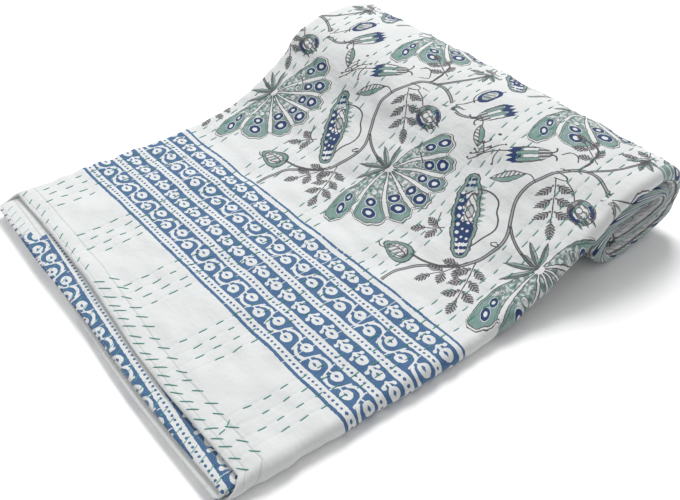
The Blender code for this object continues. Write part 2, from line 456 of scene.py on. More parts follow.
# Printed stems in millimetres, as (along, across): each set's curves keep apart from each
# other. half is half the width of a stem drawn with two lines, and 0 a single line.
STEM_SETS = (
    (
        dict(half=1.45, path=((158, 62), (166, 70), (177, 73), (190, 71), (202, 65), (213, 53),
                              (223, 42), (234, 35), (247, 31), (260, 29.5), (271, 33), (282, 40),
                              (293, 46), (305, 49), (318, 47), (331, 41), (343, 33), (351, 22),
                              (352, 10), (347, -2), (339, -13), (335, -25), (339, -36),
                              (345, -41))),
    ),
    (
        dict(half=1.2, path=((276, 35), (269, 26), (263, 14), (259.5, 0))),
        dict(half=0.95, path=((222, 43), (214, 52), (209, 64), (207, 77))),
        dict(half=1.2, path=((352, 20), (361, 11), (373, 4), (386, 0), (399, -3))),
        dict(half=0.0, path=((321, 58), (322.5, 53), (320, 47))),
        dict(half=0.0, path=((345, -41), (342, -46), (338, -49))),
        dict(half=0.0, path=((306, 108), (312, 103), (320, 98), (326, 91), (330, 84))),
    ),
    (
        dict(half=0.75, path=((350, 26), (361, 24.5), (373, 26), (381, 33), (383, 46))),
        dict(half=0.6, path=((243, 47.5), (252, 46), (260, 43), (268, 43), (275, 47), (280, 53),
                             (288, 58), (291, 65), (291, 73), (289, 79))),
        dict(half=0.0, path=((334, 25), (330, 16), (325, 11))),
        dict(half=0.0, path=((342, -13), (350, -20), (358, -24))),
        dict(half=0.0, path=((197, 100), (196, 104), (198, 107))),
        dict(half=0.0, path=((312, -61), (318, -68), (326, -72), (333, -78))),
    ),
    (
        dict(half=0.0, path=((255, 31), (253, 35), (256, 36.5), (258, 33))),
        dict(half=0.0, path=((338, 37), (338.5, 27), (334, 27), (331, 36))),
        dict(half=0.0, path=((356, 46), (361, 43), (361, 36), (354, 31))),
        dict(half=0.0, path=((312, 103), (315, 107))),
        dict(half=0.0, path=((326, 91), (319, 91), (314, 88))),
        dict(half=0.0, path=((324, 97), (329, 103))),
        dict(half=0.0, path=((318, -68), (324, -63), (323, -59))),
        dict(half=0.0, path=((240, 78), (243, 85), (252, 90))),
        dict(half=0.0, path=((282, -28), (287, -21))),
    ),
)
LINE_REACH = 7.0            # how far round a stem its distance is kept, in millimetres


def smooth_path(points, spacing=1.2):
    """Points along a curve through these, by Catmull-Rom: each span is the cubic through its
    two ends whose slope there is half the step between the neighbours."""
    points = np.array(points, float)
    ends = np.concatenate([2 * points[:1] - points[1:2], points, 2 * points[-1:] - points[-2:-1]])
    t = np.linspace(0.0, 1.0, 12)[:-1, None]
    spans = []
    for k in range(len(points) - 1):
        a, b, c, d = ends[k:k + 4]
        spans.append(0.5 * (2 * b + (c - a) * t + (2 * a - 5 * b + 4 * c - d) * t ** 2
                            + (3 * b - a - 3 * c + d) * t ** 3))
    fine = np.concatenate(spans + [points[-1:]])
    step = np.linalg.norm(np.diff(fine, axis=0), axis=1)
    total = np.concatenate([[0.0], np.cumsum(step)])
    wanted = np.linspace(0.0, total[-1], max(4, int(total[-1] / spacing)))
    return np.stack([np.interp(wanted, total, column) for column in fine.T], axis=1)


def stem_field(stems, along, across):
    """For each place on the cloth: the signed distance in millimetres to the nearest stem of
    the repeat, how near it is from 0 to 1, and that stem's half width."""
    centres, runs, halves, starts, stops = [], [], [], [], []
    for stem in stems:
        path = smooth_path(stem["path"])
        run = np.gradient(path, axis=0)
        centres.append(path)
        runs.append(run / np.linalg.norm(run, axis=1, keepdims=True))
        halves.append(np.full(len(path), stem["half"]))
        starts.append(np.arange(len(path)) == 0)
        stops.append(np.arange(len(path)) == len(path) - 1)
    centres, runs = np.concatenate(centres), np.concatenate(runs)
    halves, starts, stops = np.concatenate(halves), np.concatenate(starts), np.concatenate(stops)
    best = np.full(len(along), 1e9)
    field = np.zeros((len(along), 3))
    first = np.floor((along - COLUMN) / COLUMN)
    for shift in (-1, 0, 1):
        column = np.maximum(first + shift, 0)
        u = along - COLUMN * column
        v = across - HALF_DROP * column
        du = u[:, None] - centres[None, :, 0]
        dv = v[:, None] - centres[None, :, 1]
        dv = dv - REPEAT * np.round(dv / REPEAT)
        square = du * du + dv * dv
        nearest = square.argmin(axis=1)
        pick = np.arange(len(along))
        distance = np.sqrt(square[pick, nearest])
        du, dv, run = du[pick, nearest], dv[pick, nearest], runs[nearest]
        signed = du * run[:, 1] - dv * run[:, 0]
        past = du * run[:, 0] + dv * run[:, 1]
        over = np.where(stops[nearest], past, 0) - np.where(starts[nearest], past, 0)
        near = np.clip((LINE_REACH - distance) / 1.5, 0, 1) * np.clip(1.4 - over / 1.6, 0, 1)
        near = near * np.where(column > 0, smooth(u, 226.0, 236.0), 1.0)
        closer = distance < best
        best = np.where(closer, distance, best)
        found = np.stack([signed, near, halves[nearest]], axis=1)
        field = np.where(closer[:, None], found, field)
    field[:, 0] = np.clip(field[:, 0], -2 * LINE_REACH, 2 * LINE_REACH)
    return field


class Value:
    """A number in a material: a socket that plain arithmetic works on."""

    def __init__(self, ink, socket):
        self.ink, self.socket = ink, socket

    def __add__(self, other):
        return self.ink.math("ADD", self, other)

    def __sub__(self, other):
        return self.ink.math("SUBTRACT", self, other)

    def __mul__(self, other):
        return self.ink.math("MULTIPLY", self, other)

    def __truediv__(self, other):
        return self.ink.math("DIVIDE", self, other)

    def __neg__(self):
        return self.ink.math("MULTIPLY", self, -1.0)

    def __rsub__(self, other):
        return self.ink.math("SUBTRACT", other, self)

    def __abs__(self):
        return self.ink.math("ABSOLUTE", self)

    __radd__ = __add__
    __rmul__ = __mul__


class Ink:
    """Adds nodes to one material. Lengths are in millimetres on the cloth."""

    def __init__(self, material):
        material.use_nodes = True
        self.tree = material.node_tree
        self.shader = self.tree.nodes["Principled BSDF"]

    def node(self, kind, settings=None, values=None):
        """A node of this kind, with its settings made first and then its sockets' values."""
        node = self.tree.nodes.new(kind)
        for name, setting in (settings or {}).items():
            if name == "stops":
                ramp = node.color_ramp
                ramp.interpolation, stops = setting
                for position, _ in stops[2:]:
                    ramp.elements.new(position)
                for element, (position, colour) in zip(ramp.elements, stops):
                    element.position = position
                    element.color = (*colour, 1.0)
            else:
                setattr(node, name, setting)
        for socket, value in (values or {}).items():
            value = value.socket if isinstance(value, Value) else value
            if isinstance(value, bpy.types.NodeSocket):
                self.tree.links.new(value, node.inputs[socket])
            else:
                node.inputs[socket].default_value = value
        return node

    def math(self, operation, *values):
        node = self.node("ShaderNodeMath", {"operation": operation}, dict(enumerate(values)))
        return Value(self, node.outputs[0])

    def vector(self, operation, *values):
        """Vector maths: a vector socket, or a number for a length or a distance."""
        node = self.node("ShaderNodeVectorMath", {"operation": operation}, dict(enumerate(values)))
        if operation in ("LENGTH", "DISTANCE"):
            return Value(self, node.outputs["Value"])
        return node.outputs["Vector"]

    def split(self, vector):
        node = self.node("ShaderNodeSeparateXYZ", None, {0: vector})
        return [Value(self, output) for output in node.outputs]

    def join(self, x, y, z=0.0):
        return self.node("ShaderNodeCombineXYZ", None, {0: x, 1: y, 2: z}).outputs[0]

    def attribute(self, name):
        return self.node("ShaderNodeAttribute", {"attribute_name": name}).outputs

    def noise(self, vector, size, detail=2.0, roughness=0.5, output="Fac"):
        """Noise from 0 to 1 whose lumps are about this size, in the vector's own unit."""
        values = {"Vector": vector, "Scale": 1.0 / size, "Detail": detail, "Roughness": roughness}
        node = self.node("ShaderNodeTexNoise", {"noise_dimensions": "3D"}, values)
        return Value(self, node.outputs[output])

    def mix(self, share, colour, other):
        values = {0: share, 6: colour, 7: other}
        return self.node("ShaderNodeMix", {"data_type": "RGBA"}, values).outputs[2]

    def ramp(self, value, stops, interpolation="LINEAR"):
        """Three numbers read from a ramp of (position, (x, y, z)) stops."""
        node = self.node("ShaderNodeValToRGB", {"stops": (interpolation, stops)}, {0: value})
        parts = self.node("ShaderNodeSeparateColor", None, {0: node.outputs[0]})
        return [Value(self, output) for output in parts.outputs]

    def under(self, value, limit, soft=0.16):
        """A mask: 1 or more where the value is under the limit, 0 or less where it is over
        it, and between them over a soft edge."""
        return self.math("MULTIPLY_ADD", value, -1.0 / soft, limit / soft + 0.5)

    def over(self, value, limit, soft=0.16):
        """A mask of where the value is over the limit."""
        return self.math("MULTIPLY_ADD", value, 1.0 / soft, 0.5 - limit / soft)

    def tone(self, mask, strength):
        """The mask, printed no stronger than this."""
        return self.math("MINIMUM", mask, strength)

    def solid(self, mask):
        """The mask held from 0 to 1."""
        node = self.node("ShaderNodeClamp", None, {"Value": mask})
        return Value(self, node.outputs[0])

    def span(self, value, low, high):
        """1 where the value lies from low to high."""
        return self.math("COMPARE", value, (low + high) / 2, (high - low) / 2)

    def line(self, value, middle, half):
        """1 where the value is within half of middle, over a soft edge."""
        return self.under(abs(value - middle), half)

    def oval(self, x, y, half_x, half_y):
        """Depth inside an ellipse, about in millimetres, and negative outside."""
        size = self.vector("LENGTH", self.join(x / half_x, y / half_y))
        small = min(half_x, half_y)
        return self.math("MULTIPLY_ADD", size, -small, small)

    def both(self, *masks):
        found = masks[0]
        for mask in masks[1:]:
            found = self.math("MINIMUM", found, mask)
        return found

    def either(self, *masks):
        found = masks[0]
        for mask in masks[1:]:
            found = self.math("MAXIMUM", found, mask)
        return found

    def without(self, mask, other):
        return self.math("MINIMUM", mask, 1.0 - other)

    def wrap(self, value, low, high):
        return self.math("WRAP", value, high, low)

    def cell(self, place, middle):
        """The place, brought into the repeat that is centred across the cloth on middle."""
        top = (1e4, middle + REPEAT / 2, 1.0)
        bottom = (-1e4, middle - REPEAT / 2, 0.0)
        return self.vector("WRAP", place, top, bottom)

    def local(self, place, at, turn=0.0, scale=(1.0, 1.0)):
        """The place seen from a motif's own middle, turned by so many degrees and scaled."""
        values = {"Vector": self.cell(place, at[1]), "Location": (*at, 0.0),
                  "Rotation": (0.0, 0.0, math.radians(turn)), "Scale": (*scale, 1.0)}
        return self.node("ShaderNodeMapping", {"vector_type": "TEXTURE"}, values).outputs[0]


class Printing:
    """One mask for each ink: the union, made step by step, of what the motifs add."""

    def __init__(self, ink):
        self.ink = ink
        self.masks = {}

    def add(self, **masks):
        for name, mask in masks.items():
            kept = self.masks.get(name)
            self.masks[name] = self.ink.either(kept, mask) if kept else mask


# Lobes of the fan, from its left end: angle in degrees where each starts, counted from straight
# down, length in millimetres, and how much narrower than round its rings are
FAN_LOBES = (
    dict(start=-102.0, length=70.0, narrow=1.5), dict(start=-77.0, length=64.5, narrow=1.0),
    dict(start=-43.5, length=60.0, narrow=1.0), dict(start=-19.0, length=61.0, narrow=1.05),
    dict(start=3.0, length=60.5, narrow=1.15), dict(start=24.6, length=62.5, narrow=1.1),
    dict(start=46.5, length=67.0, narrow=1.2),
)
FAN_END = 74.0
# Outline of the fan: along its lobes, as a share of the fan, and distance in millimetres
FAN_OUTLINE = (
    (0.0, 70), (0.02, 74.5), (0.06, 73), (0.1, 66), (0.125, 58.5), (0.143, 55),
    (0.165, 61), (0.203, 64.5), (0.241, 63.5), (0.268, 60), (0.286, 55.5),
    (0.32, 61), (0.36, 61.5), (0.4, 58), (0.429, 53), (0.465, 57.5), (0.505, 58.5),
    (0.545, 56), (0.571, 52), (0.605, 58.5), (0.65, 59.5), (0.69, 57), (0.714, 53),
    (0.75, 59), (0.79, 61.5), (0.83, 60), (0.857, 54.5), (0.885, 60.5), (0.925, 62.5),
    (0.965, 62), (0.99, 57), (1.0, 49),
)
FAN_REACH = 80.0


def print_fan(ink, prints, place):
    """A seven-lobed fan seen from its base. A ramp turns the angle into lobes, another gives
    the outline's distance, and white ribs that widen outwards lie between lobes. Two rings and
    a pale one sit on each lobe's middle line, and the ink is mottled towards the base."""
    base = (259.0, -8.0)
    local = ink.vector("SUBTRACT", ink.cell(place, -24.0), (*base, 0.0))
    x, y, _ = ink.split(local)
    reach = ink.vector("LENGTH", local)
    spread = ink.math("MULTIPLY_ADD", reach, -0.0050, 1.30)
    angle = ink.math("ARCTAN2", x, -y) / spread * (180.0 / math.pi)
    first, whole = FAN_LOBES[0]["start"], FAN_END - FAN_LOBES[0]["start"]
    starts = [(lobe["start"] - first) / whole for lobe in FAN_LOBES] + [1.0]
    turned = ink.math("MULTIPLY_ADD", angle, 1.0 / whole, -first / whole)
    count = len(FAN_LOBES)
    along = ink.ramp(turned, [(s, (k / count,) * 3) for k, s in enumerate(starts)])[0]
    outline = ink.ramp(along, [(s, (d / FAN_REACH,) * 3) for s, d in FAN_OUTLINE], "CARDINAL")[0]
    widths = [math.radians(b - a) * whole for a, b in zip(starts, starts[1:])]
    facts = [(k / count, (lobe["length"] / FAN_REACH, width, lobe["narrow"] / 2))
             for k, (lobe, width) in enumerate(zip(FAN_LOBES, widths))]
    length, width, narrow = ink.ramp(along, facts, "CONSTANT")

    lobes = along * count
    aside = ink.math("FRACT", lobes) - 0.5
    drawn = ink.span(turned, 0.0, 1.0)
    waves = ink.math("SINE", lobes * 19.0) * 0.55
    edge = outline * FAN_REACH - reach + waves
    breadth = reach * width
    rib = ink.math("MULTIPLY_ADD", abs(aside), -1.0, 0.5) * breadth
    rib = rib - ink.math("MINIMUM", ink.math("MULTIPLY_ADD", reach, 0.040, 0.25), 1.9)
    ends = length * FAN_REACH - reach
    spot = ink.join(aside * breadth * narrow * 2.0, ends)
    outer_ring = ink.vector("DISTANCE", spot, (0.0, 13.5, 0.0))
    inner_ring = ink.vector("DISTANCE", spot, (0.0, 26.0, 0.0))
    pale = ink.vector("DISTANCE", spot, (0.0, 37.0, 0.0))
    shape = ink.both(drawn, ink.over(edge, 3.0), ink.over(rib, 0.5))
    white = ink.either(ink.under(outer_ring, 2.5), ink.under(inner_ring, 1.8),
                       ink.line(outer_ring, 6.1, 0.32), ink.line(inner_ring, 5.0, 0.28),
                       ink.line(pale, 2.0, 0.55))
    rings = ink.either(ink.line(outer_ring, 4.1, 1.6), ink.line(inner_ring, 3.2, 1.35))
    rings = ink.both(rings, drawn, ink.over(rib, 0.5))
    fine = ink.either(ink.line(pale, 2.9, 0.28), ink.line(outer_ring, 6.7, 0.2),
                      ink.both(ink.line(rib, 1.9, 0.22), ink.under(ends, 34.0)))
    fine = ink.tone(ink.both(fine, shape), 0.8)
    mottle = ink.noise(local, 4.2, detail=1.0)
    smudge = ink.noise(ink.vector("ADD", local, (90.0, 0.0, 0.0)), 4.2, detail=1.0)
    deep = ink.both(ink.over(ends, 30.0, 8.0), shape)
    pale_spots = ink.tone(ink.both(ink.over(mottle, 0.53, 0.10), deep), 0.85)
    smudges = ink.tone(ink.both(ink.over(smudge, 0.56, 0.12), deep), 0.42)
    outline = ink.either(ink.line(edge, 0.55, 0.52), ink.line(edge, 2.75, 0.42))
    outline = ink.both(outline, ink.over(rib, -1.6))
    ribs = ink.both(ink.line(rib, 0.2, 0.34), ink.over(edge, 2.0), ink.over(reach, 4.0))
    outline = ink.both(ink.either(outline, ribs), ink.span(turned, -0.012, 1.012))
    prints.add(teal=ink.without(ink.without(shape, white), pale_spots), navy=rings,
               outline=ink.either(outline, fine, smudges))
    for tip in ((234.0, 10.0), (247.0, 19.0), (262.0, 13.0), (275.0, 14.0), (283.0, 1.0)):
        print_blade(ink, prints, place, (259.0, -7.0), tip)


def print_blade(ink, prints, place, root, tip):
    """A narrow pointed leaf from root to tip: its half width is a parabola of the way along,
    and it is filled to one side of a dark midrib."""
    length = math.dist(root, tip)
    turn = math.degrees(math.atan2(tip[1] - root[1], tip[0] - root[0]))
    x, y, _ = ink.split(ink.local(place, root, turn))
    share = x / length
    depth = share * (1.0 - share) * 10.0 - abs(y)
    body = ink.over(depth, 0.0)
    inside = ink.over(depth, 0.5)
    shaded = ink.either(ink.under(abs(y), 0.28), ink.under(depth, 0.55),
                        ink.tone(ink.over(y, 0.0), 0.7))
    prints.add(teal=ink.tone(inside, 0.8), outline=ink.both(shaded, body))


def print_pod(ink, prints, place):
    """A slanted pod: all that lies within a swelling distance of a straight middle line. Inside
    its green rim a dark band and a dark belly carry white spots, and a half-open flower lies
    below them. Green teeth stand outside its lower rim."""
    x, y, _ = ink.split(ink.local(place, (262.0, 71.0), 34.0))
    y = y + x * x * 0.0010
    held = ink.math("MINIMUM", ink.math("MAXIMUM", x, -35.0), 36.0)
    radius = ink.math("MULTIPLY_ADD", held * held, -0.0038, 11.6)
    radius = radius + ink.math("SINE", x * 0.33) * 0.6 + ink.math("SINE", x * 0.9) * 0.25
    depth = radius - ink.vector("LENGTH", ink.join(x - held, y))
    outline = ink.either(ink.line(depth, 0.5, 0.55), ink.line(depth, 3.2, 0.36))
    rim = ink.span(depth, 0.9, 3.0)
    inner = ink.over(depth, 3.5)
    wave = ink.math("SINE", x * 0.5) * 1.3
    band = ink.both(ink.over(y + wave, 1.6), ink.over(x, -12.0), ink.under(x, 25.0))
    belly = ink.over(ink.oval(x + 15.5, y + 1.5, 11.0, 9.5), 0.0)
    spot = ink.vector("DISTANCE", ink.join(ink.wrap(x, -3.9, 3.9), y), (0.0, 5.0, 0.0))
    small = ink.vector("DISTANCE", ink.join(ink.wrap(x, -0.9, 6.9), y), (3.0, 0.9, 0.0))
    low = ink.vector("DISTANCE", ink.join(ink.wrap(x, -2.9, 4.9), y), (1.0, -3.4, 0.0))
    spots = ink.either(ink.under(spot, 1.7), ink.under(small, 1.15), ink.under(low, 1.25))
    dark = ink.without(ink.both(inner, ink.either(band, belly)), spots)
    loose = ink.vector("DISTANCE", ink.join(ink.wrap(x + 0.5, -3.1, 3.1),
                                            ink.math("PINGPONG", y + 41.5, 3.3)), (0.0, 1.4, 0.0))
    loose = ink.both(inner, ink.either(ink.under(x, -25.0), ink.over(x, 26.0)),
                     ink.under(loose, 1.75))
    petal = ink.oval(x - 7.0, y + 3.8, 15.0, 5.0)
    heart = ink.oval(x - 5.0, y + 3.4, 6.5, 3.2)
    strokes = ink.math("SINE", x * 1.15 + y * 0.7)
    lower = ink.both(ink.without(inner, ink.either(band, belly)), ink.under(x, 25.0),
                     ink.over(x, -6.0))
    petals = ink.either(ink.line(petal, 0.0, 0.4), ink.line(heart, 0.0, 0.4),
                        ink.both(ink.over(strokes, 0.35), ink.under(petal, 0.0)),
                        ink.tone(ink.both(ink.over(ink.math("SINE", x * 0.8 - y * 1.3), 0.6),
                                          ink.over(petal, 0.0)), 0.8),
                        ink.tone(ink.over(heart, 0.0), 0.35))
    tooth = ink.math("MULTIPLY_ADD", ink.math("PINGPONG", x + 50.0, 2.7), 2.0, -0.8)
    teeth = ink.both(ink.over(tooth + depth, 0.0), ink.under(depth, 0.0), ink.under(y, -2.0),
                     ink.over(x, -9.0), ink.under(x, 31.0))
    prints.add(teal=ink.either(rim, ink.tone(teeth, 0.85),
                               ink.tone(ink.both(inner, ink.over(x, 24.0)), 0.45)),
               navy=ink.either(dark, loose), outline=ink.either(outline, ink.both(lower, petals)))


def print_bud(ink, prints, place):
    """An egg-shaped bud with a drawn-out tip: a green rim, and petal lines that follow it."""
    x, y, _ = ink.split(ink.local(place, (202.0, 90.0), 6.0))
    width = ink.math("MULTIPLY_ADD", y, -0.30, 9.6)
    inside = ink.vector("LENGTH", ink.join(x / width, y / 15.5))
    depth = ink.math("MULTIPLY_ADD", inside, -10.0, 10.0)
    rim = ink.span(depth, 0.8, 3.1)
    petal = ink.oval(x + 1.0, y - 0.5, 3.6, 10.5)
    lines = ink.either(ink.line(depth, 0.4, 0.5), ink.line(depth, 3.4, 0.4),
                       ink.both(ink.line(petal, 0.0, 0.45), ink.over(depth, 3.0)))
    core = ink.both(ink.over(petal, 0.0), ink.over(ink.math("SINE", y * 1.3 + x), -0.1))
    side = ink.both(ink.over(depth, 3.8), ink.over(x, 2.8),
                    ink.over(ink.math("SINE", y * 1.5), -0.4))
    prints.add(teal=rim, outline=ink.either(lines, ink.tone(core, 0.7), ink.tone(side, 0.55)))


def print_rosebud(ink, prints, place):
    """A half-open bud: two dark petals on its sides, a pale heart with curled lines, a grey cap
    above, and jagged sepals that point down."""
    x, y, _ = ink.split(ink.local(place, (318.5, -1.5), -20.0))
    depth = ink.oval(x, y, 10.8, 12.8)
    inside = ink.over(depth, 0.0)
    ring = ink.span(depth, 0.9, 4.3)
    dark = ink.either(ink.both(ink.under(x, -2.0), ink.span(y, -6.5, 8.0)),
                      ink.both(ink.over(x, 3.5), ink.span(y, -11.0, 2.0)))
    cap = ink.both(inside, ink.over(y - x * 0.25, 6.0))
    side = ink.both(ring, ink.over(x, 2.0), ink.over(y, 2.0))
    heart = ink.oval(x - 0.5, y - 0.8, 5.2, 7.6)
    curl = ink.oval(x + 0.8, y - 2.8, 2.7, 3.1)
    swirl = ink.over(ink.math("SINE", x * 1.25 + ink.math("SINE", y * 0.55) * 1.6), 0.25)
    lower = ink.both(inside, ink.under(y, -3.0), ink.under(heart, 0.0),
                     ink.over(ink.math("SINE", x * 1.9 + y * 0.3), 0.1))
    lines = ink.either(ink.line(heart, 0.0, 0.42), ink.line(curl, 0.0, 0.42),
                       ink.tone(lower, 0.85),
                       ink.tone(ink.both(swirl, ink.over(heart, 0.0), ink.under(curl, -0.2)), 0.8),
                       ink.line(depth, 0.3, 0.42))
    down = -8.0 - y - x * 0.2
    tooth = ink.math("MULTIPLY_ADD", ink.math("PINGPONG", x + 30.0, 2.5), 3.6, -0.9)
    sepals = ink.both(ink.over(tooth - down, 0.0), ink.over(down, 0.0), ink.under(x, 6.0),
                      ink.over(x, -10.5))
    strokes = ink.both(sepals, ink.over(ink.math("SINE", x * 2.5 + 0.8), -0.1))
    prints.add(teal=ink.either(side, ink.tone(sepals, 0.7), ink.both(ring, ink.under(x, -2.0))),
               navy=ink.both(ring, dark),
               outline=ink.either(lines, ink.tone(strokes, 0.9), ink.tone(cap, 0.62)))


def print_leaf(ink, prints, place, at, turn, half_length, half_width):
    """A single leaf: the space between two parabolas, green to one side of its midrib and
    stroked with slanting lines to the other."""
    x, y, _ = ink.split(ink.local(place, at, turn))
    share = x / half_length
    across = abs(y)
    depth = ink.math("MULTIPLY_ADD", share * share, -half_width, half_width) - across
    body = ink.over(depth, 0.0)
    lines = ink.either(ink.line(depth, 0.45, 0.5), ink.under(across, 0.36),
                       ink.tone(ink.both(ink.over(y, 0.0),
                                         ink.over(ink.math("SINE", x * 1.7 - y * 1.2), 0.0)), 0.8))
    prints.add(teal=ink.both(ink.over(depth, 0.8), ink.under(y, 0.2)),
               outline=ink.both(lines, body))


def print_tulip(ink, prints, place, at, turn):
    """A tulip lying on its side: a bell whose width follows an ellipse, a toothed dark mouth,
    long petals, and a grey base with curled sepals."""
    x, y, _ = ink.split(ink.local(place, at, turn))
    along = ink.math("MULTIPLY_ADD", x, 1.0 / 23.0, 0.14)
    bell = ink.math("SQRT", ink.math("MAXIMUM", 1.0 - along * along, 0.0))
    depth = bell * 8.4 - abs(y)
    teeth = ink.math("MULTIPLY_ADD", ink.math("PINGPONG", y + 40.0, 2.2), 2.6, -18.0)
    body = ink.both(ink.over(depth, 0.0), ink.over(x - teeth, 0.0))
    petals = ink.math("SINE", y / (bell + 0.25) * 1.1)
    dark = ink.both(body, ink.under(x + petals * 2.2, -7.0))
    base = ink.both(body, ink.over(x, 8.0))
    middle = ink.both(body, ink.span(x, -8.5, 8.5))
    fill = ink.both(middle, ink.either(ink.over(petals, 0.1), ink.under(x, -3.5)))
    lines = ink.both(ink.either(ink.line(depth, 0.4, 0.5), ink.under(abs(petals), 0.26)), middle)
    strokes = ink.both(base, ink.over(ink.math("SINE", y * 1.9 + 0.6), -0.45))
    sepal = ink.vector("DISTANCE", ink.join(x, abs(y)), (19.0, 5.6, 0.0))
    curl = ink.both(ink.line(sepal, 4.2, 0.75), ink.over(x, 17.5), ink.under(abs(y), 7.5))
    prints.add(teal=ink.either(fill, ink.tone(base, 0.3)), navy=dark,
               outline=ink.either(lines, ink.tone(strokes, 0.9), curl))


def print_blue_bud(ink, prints, place):
    """A closed bud: a dark band between two ellipses round a stroked grey heart."""
    x, y, _ = ink.split(ink.local(place, (370.5, -29.0), -14.0))
    depth = ink.oval(x, y, 13.5, 6.8)
    band = ink.span(depth, 0.1, 2.5)
    heart = ink.both(ink.over(depth, 3.0), ink.over(ink.math("SINE", x * 1.2 + y), -0.4))
    husk = ink.both(ink.line(depth, -1.5, 0.4), ink.over(y, 0.0), ink.under(x, 7.0))
    tip = ink.both(ink.line(y + 0.2, 0.0, 0.5), ink.span(x, 12.5, 17.0))
    prints.add(teal=ink.tone(ink.both(ink.over(depth, 2.6), ink.under(x, -1.0)), 0.6), navy=band,
               outline=ink.either(ink.tone(heart, 0.7), husk, tip))


def print_spray(ink, prints, place, at, turn, pairs, pitch=13.0, lean=52.0, leaf=8.2):
    """A feathery spray: leaflets in pairs along a stem, each the space between two parabolas
    with saw-like sides and slanting strokes. Folding across the stem gives both leaflets of a
    pair, and wrapping along it gives the pairs."""
    x, y, _ = ink.split(ink.local(place, at, turn))
    across = abs(y)
    length = pairs * pitch
    step = ink.wrap(x, 0.0, pitch)
    values = {"Vector": ink.join(step, across), "Location": (0.22 * pitch, 0.6, 0.0),
              "Rotation": (0.0, 0.0, math.radians(lean))}
    turned = ink.node("ShaderNodeMapping", {"vector_type": "TEXTURE"}, values).outputs[0]
    a, b, _ = ink.split(turned)

    def leaflet(a, beside):
        share = ink.math("MULTIPLY_ADD", a, 1.0 / leaf, -1.10)
        strokes = ink.math("SINE", a * 2.3 - beside * 1.9)
        depth = ink.math("MULTIPLY_ADD", share * share, -3.7, 3.7) - beside + strokes * 0.55
        shade = ink.math("MAXIMUM", ink.over(strokes, -0.2), 0.55)
        return ink.both(ink.over(depth, 0.0), ink.either(shade, ink.under(beside, 0.34)))

    pair = ink.both(leaflet(a, abs(b)), ink.span(x, 0.0, length))
    stem = ink.both(ink.under(across, 0.5), ink.span(x, -4.0, length + 3.0))
    prints.add(outline=ink.either(pair, stem, leaflet(x - length, across)))


def print_stems(ink, prints):
    """Stems from the distances kept with the cloth: two lines with a shaded core for a thick
    one, and one line for a thin one."""
    for number in range(len(STEM_SETS)):
        distance, near, half = ink.split(ink.attribute(f"stems_{number + 1}")["Vector"])
        off = abs(distance)
        kept = ink.over(near, 0.5, 0.05)
        ring = ink.math("MAXIMUM", half - 0.4, 0.0)
        lines = ink.both(ink.under(abs(off - ring), 0.52), kept)
        core = ink.both(ink.under(off - half, -0.5), kept)
        shaded = ink.tone(ink.both(core, ink.over(distance, -0.2)), 0.5)
        prints.add(teal=ink.tone(core, 0.35), outline=ink.either(lines, shaded))


def print_dots(ink, prints, place, dots):
    """Round dots at the ends of twigs, each given by its place and radius."""
    cell = ink.cell(place, dots[0][1])
    masks = [ink.under(ink.vector("DISTANCE", cell, (x, y, 0.0)), r) for x, y, r in dots]
    prints.add(outline=ink.either(*masks))


def print_field(ink, prints, place):
    """All motifs of the flowered field, in columns that drop by half a repeat each."""
    u, v, _ = ink.split(place)

    def columns(start):
        column = ink.math("MAXIMUM", ink.math("FLOOR", (u - start) / COLUMN), 0.0)
        return ink.join(u - column * COLUMN, v - column * HALF_DROP)

    print_bud(ink, prints, place)
    print_spray(ink, prints, place, (230.0, 32.0), 201.0, 3, pitch=11.5, leaf=7.8)
    print_spray(ink, prints, place, (226.0, 40.5), 157.0, 2, pitch=13.0, lean=48.0, leaf=6.8)
    left = columns(172.0)
    print_fan(ink, prints, left)
    print_pod(ink, prints, left)
    print_spray(ink, prints, left, (241.0, 80.0), 128.0, 1, pitch=11.0, lean=52.0, leaf=6.6)
    right = columns(262.0)
    print_rosebud(ink, prints, right)
    print_leaf(ink, prints, right, (311.5, 68.5), -49.0, 15.5, 5.4)
    print_leaf(ink, prints, right, (328.5, -55.0), 36.0, 12.5, 4.8)
    print_tulip(ink, prints, right, (337.0, 69.0), -52.0)
    print_tulip(ink, prints, right, (358.5, -48.5), 153.0)
    print_blue_bud(ink, prints, right)
    print_spray(ink, prints, right, (328.0, 33.0), 216.0, 3, pitch=11.5, leaf=9.2)
    print_spray(ink, prints, right, (366.0, 22.0), 60.0, 2, pitch=12.0, leaf=7.0)
    for tip in ((387.0, 8.0), (382.0, -8.0), (390.0, -15.0), (399.0, -14.0)):
        print_blade(ink, prints, right, (400.0, 0.0), tip)
    print_dots(ink, prints, right, ((313.5, 87.5, 1.1), (330.0, 103.0, 1.2), (316.0, 108.0, 1.0),
                                    (324.5, 99.0, 0.9), (307.0, 109.0, 1.0)))
    print_dots(ink, prints, right, ((311.5, -60.0, 1.1), (339.0, -68.0, 1.4), (323.0, -58.0, 1.0),
                                    (333.5, -79.0, 1.1), (318.0, -69.0, 1.0)))
    print_stems(ink, prints)


def drop_shape(ink, x, w):
    """A drop that is round above and drawn out below, with a small dark heart."""
    size = ink.vector("LENGTH", ink.join(x, ink.math("MAXIMUM", w, w * 0.80)))
    heart = ink.math("MULTIPLY_ADD", abs(x), 1.7, abs(w) * 0.9)
    return ink.without(ink.under(size, 4.4), ink.under(heart, 2.15))


